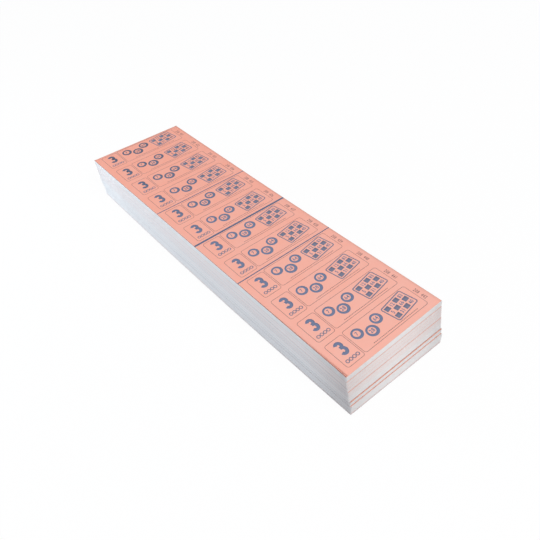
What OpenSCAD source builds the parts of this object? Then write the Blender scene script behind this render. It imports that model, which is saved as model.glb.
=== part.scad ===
// A pile of bingo ticket books.
// Each leaf is a strip of tickets one above the other. A book is a cover leaf
// over its game leaves, held by a line of glue along the left long edge. The
// books lie in five bundles that have slipped a little towards the near end,
// and one more book lies open on top, so its leaves can be turned.
// Frame: X from the glued edge to the free edge, Y from the near end to the
// far end, Z up, origin under the middle of the pile.

/* [Ticket leaf] */
// Width of a leaf, from the glued edge to the free edge
leaf_w = 166; // [120:1:220]
// Length of one ticket along the leaf
ticket_l = 50; // [35:0.5:70]
// Tickets printed along one leaf
tickets = 12; // [4:1:16]
// Thickness of the paper
leaf_t = 0.08; // [0.06:0.01:0.16]

/* [Ticket book] */
// Width of the glue line along the binding edge
glue_w = 5; // [3:0.5:12]
// Thickness of the glue line, which is also the air between two leaves
glue_t = 0.04; // [0.02:0.01:0.08]
// Distance that each fold lies further in than the fold above it
fold_step = 0.3; // [0.2:0.05:0.8]
// Slit between the glued margin of a leaf and its free part
fold_gap = 0.05; // [0.02:0.01:0.15]

/* [Bundles] */
// Books in the bottom bundle
books_1 = 34; // [6:1:60]
// Books in the second bundle
books_2 = 15; // [6:1:60]
// Books in the third bundle
books_3 = 36; // [6:1:60]
// Books in the fourth bundle
books_4 = 34; // [6:1:60]
// Books in the fifth bundle, under the open book
books_5 = 17; // [6:1:60]

/* [Slip of the pile] */
// Distance that the bottom of the pile has slipped towards the near end
slip = 10; // [0:0.5:20]
// Distance that the bundles have drifted sideways
drift = 2; // [0:0.5:10]
// Side to side unevenness of the books within a bundle
jog_x = 0.35; // [0:0.05:1]
// End to end unevenness of the books within a bundle
jog_y = 0.6; // [0:0.05:2]

/* [Hidden] */

// Game leaves in one book
games = 3;
leaf_l = tickets * ticket_l;
leaf_pitch = leaf_t + glue_t;
// Height of a closed book with the air above it
book_t = (games + 1) * leaf_pitch;

bundle_books = [books_1, books_2, books_3, books_4, books_5];
// Slip of the lowest and of the highest book in each bundle, as shares of slip
slip_low_shares = [1, 0.8, 0.68, 0.38, 0.05];
slip_high_shares = [0.98, 0.79, 0.42, 0.1, 0];
// Sideways place of each bundle, as shares of drift
drift_shares = [1, 0.8, 0.3, 0.25, 0.2];
// Turns, in degrees, that scatter the books without repeating
jog_turn_x = 137.5;
jog_turn_y = 222.5;

paper = [0.93, 0.92, 0.91];
salmon = [0.96, 0.67, 0.58];
glue = [0.86, 0.83, 0.76];

function sum_to(list, count) = count == 0 ? 0 : list[count - 1] + sum_to(list, count - 1);
function mix(low, high, share) = low + (high - low) * share;

// Books that lie under a bundle, and the height where the bundle starts
function books_under(b) = sum_to(bundle_books, b);
function bundle_z(b) = books_under(b) * book_t;

// Place of book i of bundle b in the plane, before the pile is centred
function book_x(b, i) = drift * drift_shares[b] + jog_x * sin((books_under(b) + i) * jog_turn_x);
function book_slip(b, i) =
    slip * mix(slip_low_shares[b], slip_high_shares[b], i / max(bundle_books[b] - 1, 1));
function book_y(b, i) = jog_y * sin((books_under(b) + i) * jog_turn_y) - book_slip(b, i);

// The open book lies at zero in both directions; the pile's box is centred on the origin
all_x = [0, for (b = [0 : len(bundle_books) - 1]) for (i = [0 : bundle_books[b] - 1]) book_x(b, i)];
all_y = [0, for (b = [0 : len(bundle_books) - 1]) for (i = [0 : bundle_books[b] - 1]) book_y(b, i)];
mid_x = (min(all_x) + max(all_x) + leaf_w) / 2;
mid_y = (min(all_y) + max(all_y) + leaf_l) / 2;
top_book_z = bundle_z(len(bundle_books));

// A sheet of the leaf's length, from one distance off the glued edge to another
module sheet(from, to, thickness) {
    translate([from, 0, 0])
        cube([to - from, leaf_l, thickness]);
}

// Puts a piece on every book of a bundle, at a height above the book's own foot
module on_each_book(b, height) {
    for (i = [0 : bundle_books[b] - 1])
        translate([book_x(b, i) - mid_x, book_y(b, i) - mid_y, bundle_z(b) + i * book_t + height])
            children();
}

// The game leaves of every closed book in a bundle
module bundle_game_leaves(b) {
    color(paper)
        for (k = [0 : games - 1])
            on_each_book(b, k * leaf_pitch)
                sheet(0, leaf_w, leaf_t);
}

// The glue lines of every closed book, one on top of each game leaf
module bundle_glue_lines(b) {
    color(glue)
        for (k = [0 : games - 1])
            on_each_book(b, k * leaf_pitch + leaf_t)
                sheet(0, glue_w, glue_t);
}

// The cover leaf of every closed book
module bundle_cover_leaves(b) {
    color(salmon)
        on_each_book(b, games * leaf_pitch)
            sheet(0, leaf_w, leaf_t);
}

// Level k of the open book counts down from the cover, which is level zero
function level_z(k) = top_book_z + (games - k) * leaf_pitch;
function fold_x(k) = glue_w + k * fold_step;

module at_level(k) {
    translate([-mid_x, -mid_y, level_z(k)])
        children();
}

// The margin of a leaf that the glue holds, up to its fold
module glued_stub(k) {
    at_level(k)
        sheet(0, fold_x(k) - fold_gap, leaf_t);
}

// The part of a leaf that turns about its fold
module free_leaf(k) {
    at_level(k)
        sheet(fold_x(k), leaf_w, leaf_t);
}

module bundle_1_books() { bundle_game_leaves(0); }
module bundle_1_covers() { bundle_cover_leaves(0); }
module bundle_1_glue() { bundle_glue_lines(0); }
module bundle_2_books() { bundle_game_leaves(1); }
module bundle_2_covers() { bundle_cover_leaves(1); }
module bundle_2_glue() { bundle_glue_lines(1); }
module bundle_3_books() { bundle_game_leaves(2); }
module bundle_3_covers() { bundle_cover_leaves(2); }
module bundle_3_glue() { bundle_glue_lines(2); }
module bundle_4_books() { bundle_game_leaves(3); }
module bundle_4_covers() { bundle_cover_leaves(3); }
module bundle_4_glue() { bundle_glue_lines(3); }
module bundle_5_books() { bundle_game_leaves(4); }
module bundle_5_covers() { bundle_cover_leaves(4); }
module bundle_5_glue() { bundle_glue_lines(4); }

// The last game leaf of the open book stays flat on the pile
module top_book_back_leaf() {
    color(paper)
        at_level(games)
            sheet(0, leaf_w, leaf_t);
}

// One glue line on top of each leaf but the cover
module top_book_glue() {
    color(glue)
        for (k = [1 : games])
            at_level(k)
                translate([0, 0, leaf_t])
                    sheet(0, glue_w, glue_t);
}

module top_book_leaf_2_stub() { color(paper) glued_stub(2); }
module top_book_leaf_2() { color(paper) free_leaf(2); }
module top_book_leaf_1_stub() { color(paper) glued_stub(1); }
module top_book_leaf_1() { color(paper) free_leaf(1); }
module top_book_cover_stub() { color(salmon) glued_stub(0); }
module top_book_cover() { color(salmon) free_leaf(0); }

bundle_1_books();
bundle_1_covers();
bundle_1_glue();
bundle_2_books();
bundle_2_covers();
bundle_2_glue();
bundle_3_books();
bundle_3_covers();
bundle_3_glue();
bundle_4_books();
bundle_4_covers();
bundle_4_glue();
bundle_5_books();
bundle_5_covers();
bundle_5_glue();
top_book_back_leaf();
top_book_glue();
top_book_leaf_2_stub();
top_book_leaf_2();
top_book_leaf_1_stub();
top_book_leaf_1();
top_book_cover_stub();
top_book_cover();
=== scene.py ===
"""Looks of a pile of bingo ticket books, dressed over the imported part.

Lengths are in metres. X runs from the glued edge of a leaf to its free edge,
Y from the near end of the pile to the far end, and Z is up. A place on a leaf
is also given by two shares: across, from the glued edge to the free edge, and
along, from the near end to the far end.
"""

import logging
import math
from collections.abc import Sequence
from dataclasses import dataclass, replace
from enum import Enum

import bpy
import numpy as np
from mathutils import Matrix, Vector


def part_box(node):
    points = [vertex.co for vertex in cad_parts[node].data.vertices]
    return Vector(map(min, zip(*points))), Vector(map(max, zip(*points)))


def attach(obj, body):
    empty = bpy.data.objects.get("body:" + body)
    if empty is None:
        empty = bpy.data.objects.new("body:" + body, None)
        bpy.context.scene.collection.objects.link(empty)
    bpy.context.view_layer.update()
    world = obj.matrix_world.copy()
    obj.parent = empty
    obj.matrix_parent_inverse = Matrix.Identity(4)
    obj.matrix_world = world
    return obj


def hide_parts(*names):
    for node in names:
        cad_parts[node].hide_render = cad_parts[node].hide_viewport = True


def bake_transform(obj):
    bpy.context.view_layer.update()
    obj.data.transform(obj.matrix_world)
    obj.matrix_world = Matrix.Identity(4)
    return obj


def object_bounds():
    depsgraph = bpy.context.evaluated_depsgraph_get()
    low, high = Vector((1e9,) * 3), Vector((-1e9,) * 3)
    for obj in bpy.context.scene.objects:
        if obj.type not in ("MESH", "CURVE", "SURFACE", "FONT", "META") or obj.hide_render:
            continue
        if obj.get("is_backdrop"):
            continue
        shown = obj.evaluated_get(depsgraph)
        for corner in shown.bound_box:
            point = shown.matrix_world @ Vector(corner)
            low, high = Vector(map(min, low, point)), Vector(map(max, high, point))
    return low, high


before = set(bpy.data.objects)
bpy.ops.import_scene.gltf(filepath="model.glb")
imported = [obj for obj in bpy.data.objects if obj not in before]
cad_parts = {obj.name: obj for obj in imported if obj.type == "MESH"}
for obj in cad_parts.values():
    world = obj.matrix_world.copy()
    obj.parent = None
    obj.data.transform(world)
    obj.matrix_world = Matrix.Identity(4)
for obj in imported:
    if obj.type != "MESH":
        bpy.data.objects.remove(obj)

LOG = logging.getLogger("ticket_pile")
MM = 0.001
TINT = "tint"
WHITE = (1.0, 1.0, 1.0, 1.0)
# A row of tints: how many it holds, its upper side, its three open cut sides and its glued side
SIDES = 6
UPPER_SIDE = 0
OPEN_SIDES = slice(2, 5)
GLUED_SIDE = 5

Pair = tuple[float, float]
Steps = tuple[int, int]
Colour = tuple[float, float, float, float]
Socket = bpy.types.NodeSocket


def linear(red: float, green: float, blue: float) -> Colour:
    """Turns a screen colour into the light shares that a shader takes.

    Args:
        red: Red of the screen colour, from 0 to 255.
        green: Green of the screen colour, from 0 to 255.
        blue: Blue of the screen colour, from 0 to 255.

    Returns:
        The four shares of the colour, the last one full.
    """
    full, knee, slope, offset, power = 255, 0.04045, 12.92, 0.055, 2.4
    share = np.array([red, green, blue]) / full
    light = np.where(share <= knee, share / slope, ((share + offset) / (1 + offset)) ** power)
    return (float(light[0]), float(light[1]), float(light[2]), 1.0)


def turning(degrees: float) -> np.ndarray:
    """The matrix that turns rows of points counter-clockwise."""
    cosine, sine = math.cos(math.radians(degrees)), math.sin(math.radians(degrees))
    return np.array([[cosine, sine], [-sine, cosine]])


def pairs(x: np.ndarray | float, y: np.ndarray | float) -> np.ndarray:
    """Rows of two coordinates, from two lists, or from a list and a number that all rows share."""
    return np.stack(np.broadcast_arrays(x, y), axis=1)


@dataclass(frozen=True)
class Flat:
    """A flat drawing: points in the plane, and faces that all have as many corners."""

    points: np.ndarray
    faces: np.ndarray

    def repeated(self, origins: np.ndarray) -> "Flat":
        """Draws the same drawing again from each of several origins.

        Args:
            origins: One row of two coordinates for each copy.

        Returns:
            All copies as one drawing.
        """
        points = (origins[:, None] + self.points[None]).reshape(-1, 2)
        steps = len(self.points) * np.arange(len(origins))
        faces = (steps[:, None, None] + self.faces[None]).reshape(-1, self.faces.shape[1])
        return Flat(points, faces)

    def turned(self, degrees: float, about: np.ndarray) -> "Flat":
        """Turns the drawing counter-clockwise about a point."""
        return Flat(about + (self.points - about) @ turning(degrees), self.faces)


def joined(drawings: Sequence[Flat]) -> Flat:
    """Puts drawings whose faces have the same number of corners into one.

    Args:
        drawings: The drawings to put together.

    Returns:
        One drawing that holds them all.
    """
    counts = np.array([len(drawing.points) for drawing in drawings])
    starts = np.concatenate([[0], np.cumsum(counts)[:-1]])
    points = np.concatenate([drawing.points for drawing in drawings])
    faces = np.concatenate([drawing.faces + start for drawing, start in zip(drawings, starts)])
    return Flat(points, faces)


def strip(first: np.ndarray, second: np.ndarray) -> Flat:
    """Fills the strip between two lines that have the same number of points.

    Args:
        first: Points of the line on the left of the walk.
        second: Points of the line on its right.

    Returns:
        The strip as a drawing of four-cornered faces.
    """
    count = len(first)
    row = np.arange(count - 1)
    faces = np.stack([row, row + count, row + count + 1, row + 1], axis=1)
    return Flat(np.concatenate([first, second]), faces)


def ring(outer: np.ndarray, inner: np.ndarray) -> Flat:
    """Fills the band between two closed walks that have the same number of points.

    Args:
        outer: Points of the outer walk.
        inner: Points of the inner walk.

    Returns:
        The band as a drawing of four-cornered faces.
    """
    count = len(outer)
    index = np.arange(count)
    following = np.roll(index, -1)
    faces = np.stack([index, following, following + count, index + count], axis=1)
    return Flat(np.concatenate([outer, inner]), faces)


def rectangles(lows: np.ndarray, highs: np.ndarray) -> Flat:
    """Draws upright rectangles.

    Args:
        lows: Low corner of each.
        highs: High corner of each.

    Returns:
        All rectangles as one drawing.
    """
    right, left = pairs(highs[:, 0], lows[:, 1]), pairs(lows[:, 0], highs[:, 1])
    points = np.stack([lows, right, highs, left], axis=1).reshape(-1, 2)
    return Flat(points, np.arange(len(points)).reshape(-1, 4))


def circle(middle: np.ndarray, radius: float, steps: int) -> np.ndarray:
    """Walks counter-clockwise round a circle, in as many points as steps."""
    turns = np.linspace(0, 2 * np.pi, steps, endpoint=False)
    return middle + radius * pairs(np.cos(turns), np.sin(turns))


def rounded_loop(low: np.ndarray, high: np.ndarray, radius: float, inset: float,
                 steps: Steps) -> np.ndarray:
    """Walks counter-clockwise round a rectangle with round corners.

    Each corner is a quarter circle about its own centre, and each side is a
    straight run of points from one quarter circle to the next.

    Args:
        low: Low corner of the rectangle.
        high: High corner of the rectangle.
        radius: Radius of the corners.
        inset: How far inside the rectangle the walk runs.
        steps: Steps in each corner and in each side.

    Returns:
        The points of the walk.
    """
    inner_low, inner_high = low + radius, high - radius
    middles = np.array([
        [inner_high[0], inner_low[1]], [inner_high[0], inner_high[1]],
        [inner_low[0], inner_high[1]], [inner_low[0], inner_low[1]],
    ])
    turns = np.radians([-90, 0, 90, 180])[:, None] + np.linspace(0, np.pi / 2, steps[0] + 1)[None]
    corners = middles[:, None] + (radius - inset) * np.stack([np.cos(turns), np.sin(turns)], axis=-1)
    share = np.linspace(0, 1, steps[1] + 1)[1:-1][None, :, None]
    sides = corners[:, -1:] * (1 - share) + np.roll(corners[:, :1], -1, axis=0) * share
    return np.concatenate([corners, sides], axis=1).reshape(-1, 2)


def rounded_band(low: np.ndarray, high: np.ndarray, radius: float, width: float, steps: Steps) -> Flat:
    """Draws a band of even width inside a rectangle with round corners."""
    walks = [rounded_loop(low, high, radius, inset, steps) for inset in (0.0, width)]
    return ring(*walks)


def bowl(middle: np.ndarray, radii: np.ndarray, turns: Pair, width: float, steps: int) -> Flat:
    """Draws a stroke of even width along an arc of an ellipse.

    The two sides of the stroke are the arc moved outwards and inwards along its
    own normal by half the width.

    Args:
        middle: Middle of the ellipse.
        radii: Its two radii.
        turns: Angles where the arc starts and ends, in degrees, the start being the smaller.
        width: Width of the stroke.
        steps: Steps along the arc.

    Returns:
        The stroke.
    """
    turn = np.radians(np.linspace(*turns, steps + 1))
    outwards = pairs(np.cos(turn), np.sin(turn))
    arc = middle + radii * outwards
    normal = outwards * radii[::-1]
    normal = normal / np.linalg.norm(normal, axis=1, keepdims=True)
    return strip(arc - normal * width / 2, arc + normal * width / 2)


@dataclass(frozen=True)
class Shape:
    """A closed surface: its points, its faces by number of corners, and a tint for each face."""

    points: np.ndarray
    faces: list[np.ndarray]
    tints: np.ndarray | None = None


def slab_faces(columns: int, rows: int) -> np.ndarray:
    """Closes a grid of points above and the same grid below into one slab.

    The upper points come first, column by column, and the lower ones follow in
    the same order. Upper faces turn counter-clockwise seen from above, lower
    faces the other way, and the walls follow the rim: near end, free edge, far
    end, glued edge.

    Args:
        columns: Points across the grid.
        rows: Points along the grid.

    Returns:
        Four corners for each face: upper faces, lower faces, then walls.
    """
    below = columns * rows
    index = np.arange(below).reshape(columns, rows)
    corners = [index[:-1, :-1], index[1:, :-1], index[1:, 1:], index[:-1, 1:]]
    upper = np.stack([corner.ravel() for corner in corners], axis=1)
    lower = upper[:, [0, 3, 2, 1]] + below
    rim = np.concatenate([index[:-1, 0], index[-1, :-1], index[:0:-1, -1], index[0, :0:-1]])
    following = np.roll(rim, -1)
    walls = np.stack([rim, rim + below, following + below, following], axis=1)
    return np.concatenate([upper, lower, walls])


@dataclass(frozen=True)
class SideTints:
    """How each side of a leaf is tinted: fully darkened at -1, where rubbed ends and painted shade are
    drawn, plain paper at 0, full print at 1.
    """

    upper: float = 0.0
    lower: float = 0.0
    near: float = 0.0
    free: float = 0.0
    far: float = 0.0
    glued: float = 0.0

    def row(self) -> np.ndarray:
        """The six tints in the order of a slab's sides."""
        return np.array([self.upper, self.lower, self.near, self.free, self.far, self.glued])


def face_tints(columns: int, rows: int, sides: np.ndarray, fade: float = 1.0) -> np.ndarray:
    """Gives each face of one or many slabs the tint of its side.

    The tint of the glued side grows evenly from the far end to the near end; where it is painted shade,
    the near end is darkest.

    Args:
        columns: Points across each slab's grid.
        rows: Points along each slab's grid.
        sides: The six tints of each slab, a row each.
        fade: Share of the glued side's tint that is left at the far end.

    Returns:
        One tint for each face, slab after slab, in the order of slab_faces.
    """
    cells = (columns - 1) * (rows - 1)
    tints = np.repeat(sides, [cells, cells, columns - 1, rows - 1, columns - 1, rows - 1], axis=1)
    tints[:, 1 - rows:] *= np.linspace(fade, 1, rows - 1)
    return tints.ravel()


def mesh_points(mesh: bpy.types.Mesh) -> np.ndarray:
    """Reads the points of a mesh.

    Args:
        mesh: The mesh.

    Returns:
        Three coordinates of each point.
    """
    points = np.empty(3 * len(mesh.vertices), np.float32)
    mesh.vertices.foreach_get("co", points)
    return points.reshape(-1, 3).astype(float)


def add_piece(name: str, shape: Shape, material: bpy.types.Material) -> bpy.types.Object:
    """Makes an object of a shape, at the origin, with one finish.

    Args:
        name: Name of the piece.
        shape: Its points and faces.
        material: Its finish.

    Returns:
        The new object.
    """
    mesh = bpy.data.meshes.new(name)
    corners = np.concatenate([faces.ravel() for faces in shape.faces])
    sizes = np.concatenate([np.full(len(faces), faces.shape[1]) for faces in shape.faces])
    starts = np.concatenate([[0], np.cumsum(sizes)[:-1]])
    mesh.vertices.add(len(shape.points))
    mesh.vertices.foreach_set("co", shape.points.astype(np.float32).ravel())
    mesh.loops.add(len(corners))
    mesh.loops.foreach_set("vertex_index", corners.astype(np.int32))
    mesh.polygons.add(len(sizes))
    mesh.polygons.foreach_set("loop_start", starts.astype(np.int32))
    mesh.update(calc_edges=True)
    if shape.tints is not None:
        tint = mesh.attributes.new(TINT, "FLOAT", "FACE")
        tint.data.foreach_set("value", shape.tints.astype(np.float32))
    mesh.materials.append(material)
    piece = bpy.data.objects.new(name, mesh)
    bpy.context.scene.collection.objects.link(piece)
    LOG.info("%s: %d faces", name, len(sizes))
    return piece


class NodeBench:
    """Adds nodes to a node tree and links them."""

    noise_middle: Pair = (0.3, 0.7)

    def __init__(self, tree: bpy.types.NodeTree) -> None:
        """Clears the tree before its first node."""
        self.tree = tree
        tree.nodes.clear()

    def add(self, kind: str, inputs: dict | None = None, **settings: object) -> bpy.types.Node:
        """Adds one node.

        Args:
            kind: Blender's name of the node.
            inputs: Values or output sockets for the node's inputs, by name or number.
            settings: Properties of the node itself.

        Returns:
            The new node.
        """
        node = self.tree.nodes.new(kind)
        for name, value in settings.items():
            setattr(node, name, value)
        for key, value in (inputs or {}).items():
            if isinstance(value, Socket):
                self.tree.links.new(value, node.inputs[key])
            else:
                node.inputs[key].default_value = value
        return node

    def reckoned(self, operation: str, first: object, second: object, clamped: bool = False) -> Socket:
        """Works out a number from two values or sockets, held between 0 and 1 if clamped."""
        node = self.add("ShaderNodeMath", {0: first, 1: second}, operation=operation, use_clamp=clamped)
        return node.outputs[0]

    def mixed(self, share: object, first: object, second: object) -> Socket:
        """Mixes two colours, each a value or a socket, by the second one's share."""
        # The sockets go by number, since a mix of colours names them like a mix of numbers
        node = self.add("ShaderNodeMix", {0: share, 6: first, 7: second}, data_type="RGBA")
        return node.outputs[2]

    def noise(self, place: Socket, scale: float, detail: float) -> Socket:
        """Adds a noise pattern with so many spots per metre, and octaves of finer spots."""
        node = self.add("ShaderNodeTexNoise", {"Vector": place, "Scale": scale, "Detail": detail})
        return node.outputs["Fac"]

    def spread(self, value: Socket, low: float, high: float) -> Socket:
        """Stretches the middle of a noise pattern over a range.

        Args:
            value: Strength of the pattern.
            low: Result at the pattern's dark spots.
            high: Result at its bright spots.

        Returns:
            The socket of the stretched value.
        """
        dark, bright = self.noise_middle
        inputs = {"Value": value, "From Min": dark, "From Max": bright, "To Min": low, "To Max": high}
        return self.add("ShaderNodeMapRange", inputs).outputs["Result"]

    def along(self, place: Socket, ends: Pair, most: float) -> Socket:
        """Adds a value that grows evenly along the leaf.

        Args:
            place: Coordinates that the value reads.
            ends: Place along the leaf where the value is zero, and where it is full.
            most: The full value.

        Returns:
            The socket of the value.
        """
        level = self.add("ShaderNodeSeparateXYZ", {0: place}).outputs["Y"]
        inputs = {"Value": level, "From Min": ends[0], "From Max": ends[1], "To Max": most}
        return self.add("ShaderNodeMapRange", inputs).outputs["Result"]


def start_material(name: str) -> tuple[bpy.types.Material, NodeBench]:
    """Starts a material that has no nodes yet.

    Args:
        name: Name of the material.

    Returns:
        The material, and the bench that adds its nodes.
    """
    material = bpy.data.materials.new(name)
    material.use_nodes = True
    return material, NodeBench(material.node_tree)


@dataclass(frozen=True)
class PaperFinish:
    """Uncoated paper: cloudy in large spots, fibrous in small ones, tinted where it is printed, and
    darkened where its ends are rubbed and where shade is painted on it.
    """

    name: str
    plain: Colour
    tinted: Colour
    cloud: Colour
    # Darker colour that negative tints mix in: rubbed cover ends, and painted shade on the glued side and
    # the foot
    worn: Colour
    # Paler print colour that is mixed in towards the near end
    bleached: Colour = linear(238, 203, 194)
    bleach: float = 0.25
    bleach_ends: Pair = (0.3, -0.3)
    cloud_scale: float = 55.0
    cloud_detail: float = 3.0
    fibre_scale: float = 1700.0
    fibre_detail: float = 4.0
    fibre_depth: float = 0.02 * MM
    fibre_strength: float = 0.6
    speck: float = 0.06
    speck_colour: Colour = (0.35, 0.3, 0.27, 1.0)
    roughness: Pair = (0.6, 0.78)
    gloss: float = 0.25

    def material(self) -> bpy.types.Material:
        """Builds the material: plain paper under print, rubbed ends and painted shade, with specks and
        fibres.

        The print is paler towards the near end.

        Returns:
            The material.
        """
        material, bench = start_material(self.name)
        place = bench.add("ShaderNodeTexCoord").outputs["Object"]
        tint = bench.add("ShaderNodeAttribute", attribute_name=TINT).outputs["Fac"]
        clouds = bench.spread(bench.noise(place, self.cloud_scale, self.cloud_detail), 0.0, 1.0)
        fibres = bench.noise(place, self.fibre_scale, self.fibre_detail)
        printed = bench.mixed(clouds, self.tinted, self.cloud)
        printed = bench.mixed(bench.along(place, self.bleach_ends, self.bleach), printed, self.bleached)
        # Negative tints mix in the darker colour, as rubbed ends and as painted shade
        wear = bench.reckoned("MULTIPLY", tint, -1.0, clamped=True)
        colour = bench.mixed(wear, bench.mixed(tint, self.plain, printed), self.worn)
        bump = bench.add("ShaderNodeBump", {
            "Height": fibres,
            "Distance": self.fibre_depth,
            "Strength": self.fibre_strength,
        })
        shader = bench.add("ShaderNodeBsdfPrincipled", {
            "Base Color": bench.mixed(bench.spread(fibres, 0.0, self.speck), colour, self.speck_colour),
            "Roughness": bench.spread(fibres, *self.roughness),
            "Normal": bump.outputs[0],
            "Specular IOR Level": self.gloss,
        })
        bench.add("ShaderNodeOutputMaterial", {"Surface": shader.outputs[0]})
        return material


@dataclass(frozen=True)
class InkFinish:
    """Ink on paper: thinner in spots, where the paper shows through, and deeper towards the far end."""

    name: str
    full: Colour
    thin: Colour
    spot_scale: float = 900.0
    spot_detail: float = 3.0
    roughness: Pair = (0.5, 0.65)
    gloss: float = 0.3
    deep: Colour | None = None
    deep_ends: Pair = (0.0, 0.3)
    depth: float = 0.6

    def material(self) -> bpy.types.Material:
        """Builds the material: full ink mixed with thin ink by a fine noise, then with deep ink.

        Returns:
            The material.
        """
        material, bench = start_material(self.name)
        place = bench.add("ShaderNodeTexCoord").outputs["Object"]
        spots = bench.noise(place, self.spot_scale, self.spot_detail)
        colour = bench.mixed(bench.spread(spots, 0.0, 1.0), self.full, self.thin)
        if self.deep:
            colour = bench.mixed(bench.along(place, self.deep_ends, self.depth), colour, self.deep)
        shader = bench.add("ShaderNodeBsdfPrincipled", {
            "Base Color": colour,
            "Roughness": bench.spread(spots, *self.roughness),
            "Specular IOR Level": self.gloss,
        })
        bench.add("ShaderNodeOutputMaterial", {"Surface": shader.outputs[0]})
        return material


class Finish(Enum):
    """The finishes of the pile."""

    COVER = PaperFinish(
        "cover_paper",
        plain=linear(236, 234, 233), tinted=linear(250, 168, 144),
        cloud=linear(248, 173, 152), worn=linear(206, 148, 130),
    )
    # The game paper's darker colour draws painted shade and darker streaks on the glued side, and painted
    # shade at the foot
    GAME = PaperFinish(
        "game_paper",
        plain=linear(236, 235, 235), tinted=linear(249, 172, 150),
        cloud=linear(247, 178, 160), worn=linear(138, 145, 152),
    )
    GLUE = InkFinish("padding_glue", linear(228, 228, 228), linear(234, 234, 236), spot_scale=400.0)
    BLUE = InkFinish("blue_ink", linear(102, 116, 146), linear(118, 125, 150), deep=linear(66, 66, 78))
    SLATE = InkFinish("slate_ink", linear(106, 112, 136), linear(128, 126, 142))
    CUT = InkFinish("cut_ink", linear(78, 98, 128), linear(94, 108, 134))
    # Painted shadow: the dark lines along the open book's glued edges
    EDGE = InkFinish("painted_edge_shadow", linear(118, 72, 60), linear(140, 86, 70))
    # Painted shade on the strip of each bundle's top cover that sticks out at the near end
    WORN = InkFinish("painted_shade_strip", linear(220, 158, 138), linear(226, 166, 148))
    BROWN = InkFinish("line_ink", linear(140, 108, 108), linear(158, 120, 114))
    SALMON = InkFinish("border_ink", linear(248, 172, 150), linear(246, 180, 162))


class FinishRack:
    """Makes each finish's material once and hands it out."""

    def __init__(self) -> None:
        """Builds every material of the pile."""
        self.materials = {finish: finish.value.material() for finish in Finish}

    def __getitem__(self, finish: Finish) -> bpy.types.Material:
        """Gives the material of a finish."""
        return self.materials[finish]


@dataclass(frozen=True)
class Settling:
    """How the pile has settled: its loose near corner stands higher, and its foot bows to the left."""

    rise: float
    bow: float
    pile_top: float

    def lift(self, across: np.ndarray, along: np.ndarray, height: np.ndarray) -> np.ndarray:
        """How far points at a height of the flat pile, and at shares across and along it, are raised."""
        # The rise by the shares of the height and across, and by the square of what is left along
        return self.rise * (height / self.pile_top) * across * (1 - along) ** 2

    def shift(self, along: np.ndarray, height: np.ndarray) -> np.ndarray:
        """How far points at a height of the flat pile, and at shares along it, are moved across."""
        # A parabola that is full in the middle of the length, fading evenly towards the top
        return -self.bow * (1 - height / self.pile_top) * 4 * along * (1 - along)


@dataclass(frozen=True)
class Lay:
    """How one leaf lies: its flat box, the settled pile under it, its own curl and its lifted lip."""

    left: float
    near: float
    width: float
    length: float
    top: float
    settling: Settling
    curl: float = 0.0
    lip: float = 0.0
    trim: float = 0.0
    margin: float = 5.0 * MM
    corner_power: float = 8.0
    waves: float = 9.0
    wave_turn: float = 0.7
    wave_level: float = 0.6
    wave_swing: float = 0.4

    def height(self, x: np.ndarray, y: np.ndarray) -> np.ndarray:
        """Works out the top of the leaf over points of the plane.

        It is the flat height, plus the settled pile's lift, plus a curl that grows
        with the square of the share across and waves along the free edge, plus a
        lip that rises over the glued margin towards the near left corner.

        Args:
            x: Places across the pile.
            y: Places along the pile.

        Returns:
            The height over each point.
        """
        across = (x - self.left) / self.width
        along = (y - self.near) / self.length
        wave = self.wave_level + self.wave_swing * np.sin(self.waves * along + self.wave_turn)
        lip = self.lip * self._at_margin(x) ** 2 * (1 - along) ** self.corner_power
        return self.top + self.settling.lift(across, along, self.top) + self.curl * wave * across**2 + lip

    def _at_margin(self, x: np.ndarray) -> np.ndarray:
        """One at the glued edge, falling to zero at the end of the glued margin."""
        return np.clip(1 - (x - self.left) / self.margin, 0, 1)

    def _moved(self, x: np.ndarray, y: np.ndarray) -> np.ndarray:
        """Moves points across with the settled pile.

        Where the glued edge is trimmed, the margin is squeezed as well, most at the
        near end.

        Args:
            x: Places across the pile.
            y: Places along the pile.

        Returns:
            The moved places across the pile.
        """
        along = (y - self.near) / self.length
        trim = self.trim * self._at_margin(x) * (1 - along) ** self.corner_power
        return x + trim + self.settling.shift(along, np.array(self.top))

    def sheet(self, across: np.ndarray, along: np.ndarray, thickness: float, tints: SideTints) -> Shape:
        """Makes the leaf itself: its upper surface on a grid, and the same grid a thickness below.

        Args:
            across: Shares across the leaf where the grid has its columns.
            along: Shares along the leaf where the grid has its rows.
            thickness: Thickness of the paper.
            tints: Tints of the leaf's sides.

        Returns:
            The closed leaf.
        """
        x, y = np.meshgrid(self.left + self.width * across, self.near + self.length * along, indexing="ij")
        upper = np.stack([self._moved(x, y), y, self.height(x, y)], axis=-1).reshape(-1, 3)
        points = np.concatenate([upper, upper - np.array([0, 0, thickness])])
        size = (len(across), len(along))
        return Shape(points, [slab_faces(*size)], face_tints(*size, tints.row()[None]))

    def printed(self, drawing: Flat, rise: float = 0.03 * MM, sink: float = 0.01 * MM) -> Shape:
        """Lays a flat drawing on the leaf as a thin closed film.

        The film's upper side stands over the leaf by the rise and its lower side
        lies under the leaf's surface by the sink. Walls close it along every edge
        that has a face on one side only.

        Args:
            drawing: The drawing, in the plane of the pile.
            rise: Height of the film over the paper.
            sink: Depth of the film in the paper.

        Returns:
            The closed film.
        """
        x, y = drawing.points.T
        height = self.height(x, y)
        x = self._moved(x, y)
        upper = np.stack([x, y, height + rise], axis=1)
        lower = np.stack([x, y, height - sink], axis=1)
        count = len(upper)
        ends = np.stack([drawing.faces, np.roll(drawing.faces, -1, axis=1)], axis=-1).reshape(-1, 2)
        keys = np.sort(ends, axis=1) @ np.array([count, 1])
        _, first, uses = np.unique(keys, return_index=True, return_counts=True)
        start, stop = ends[first[uses == 1]].T
        walls = np.stack([start, start + count, stop + count, stop], axis=1)
        faces = [drawing.faces, drawing.faces[:, ::-1] + count, walls]
        return Shape(np.concatenate([upper, lower]), faces)


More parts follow.
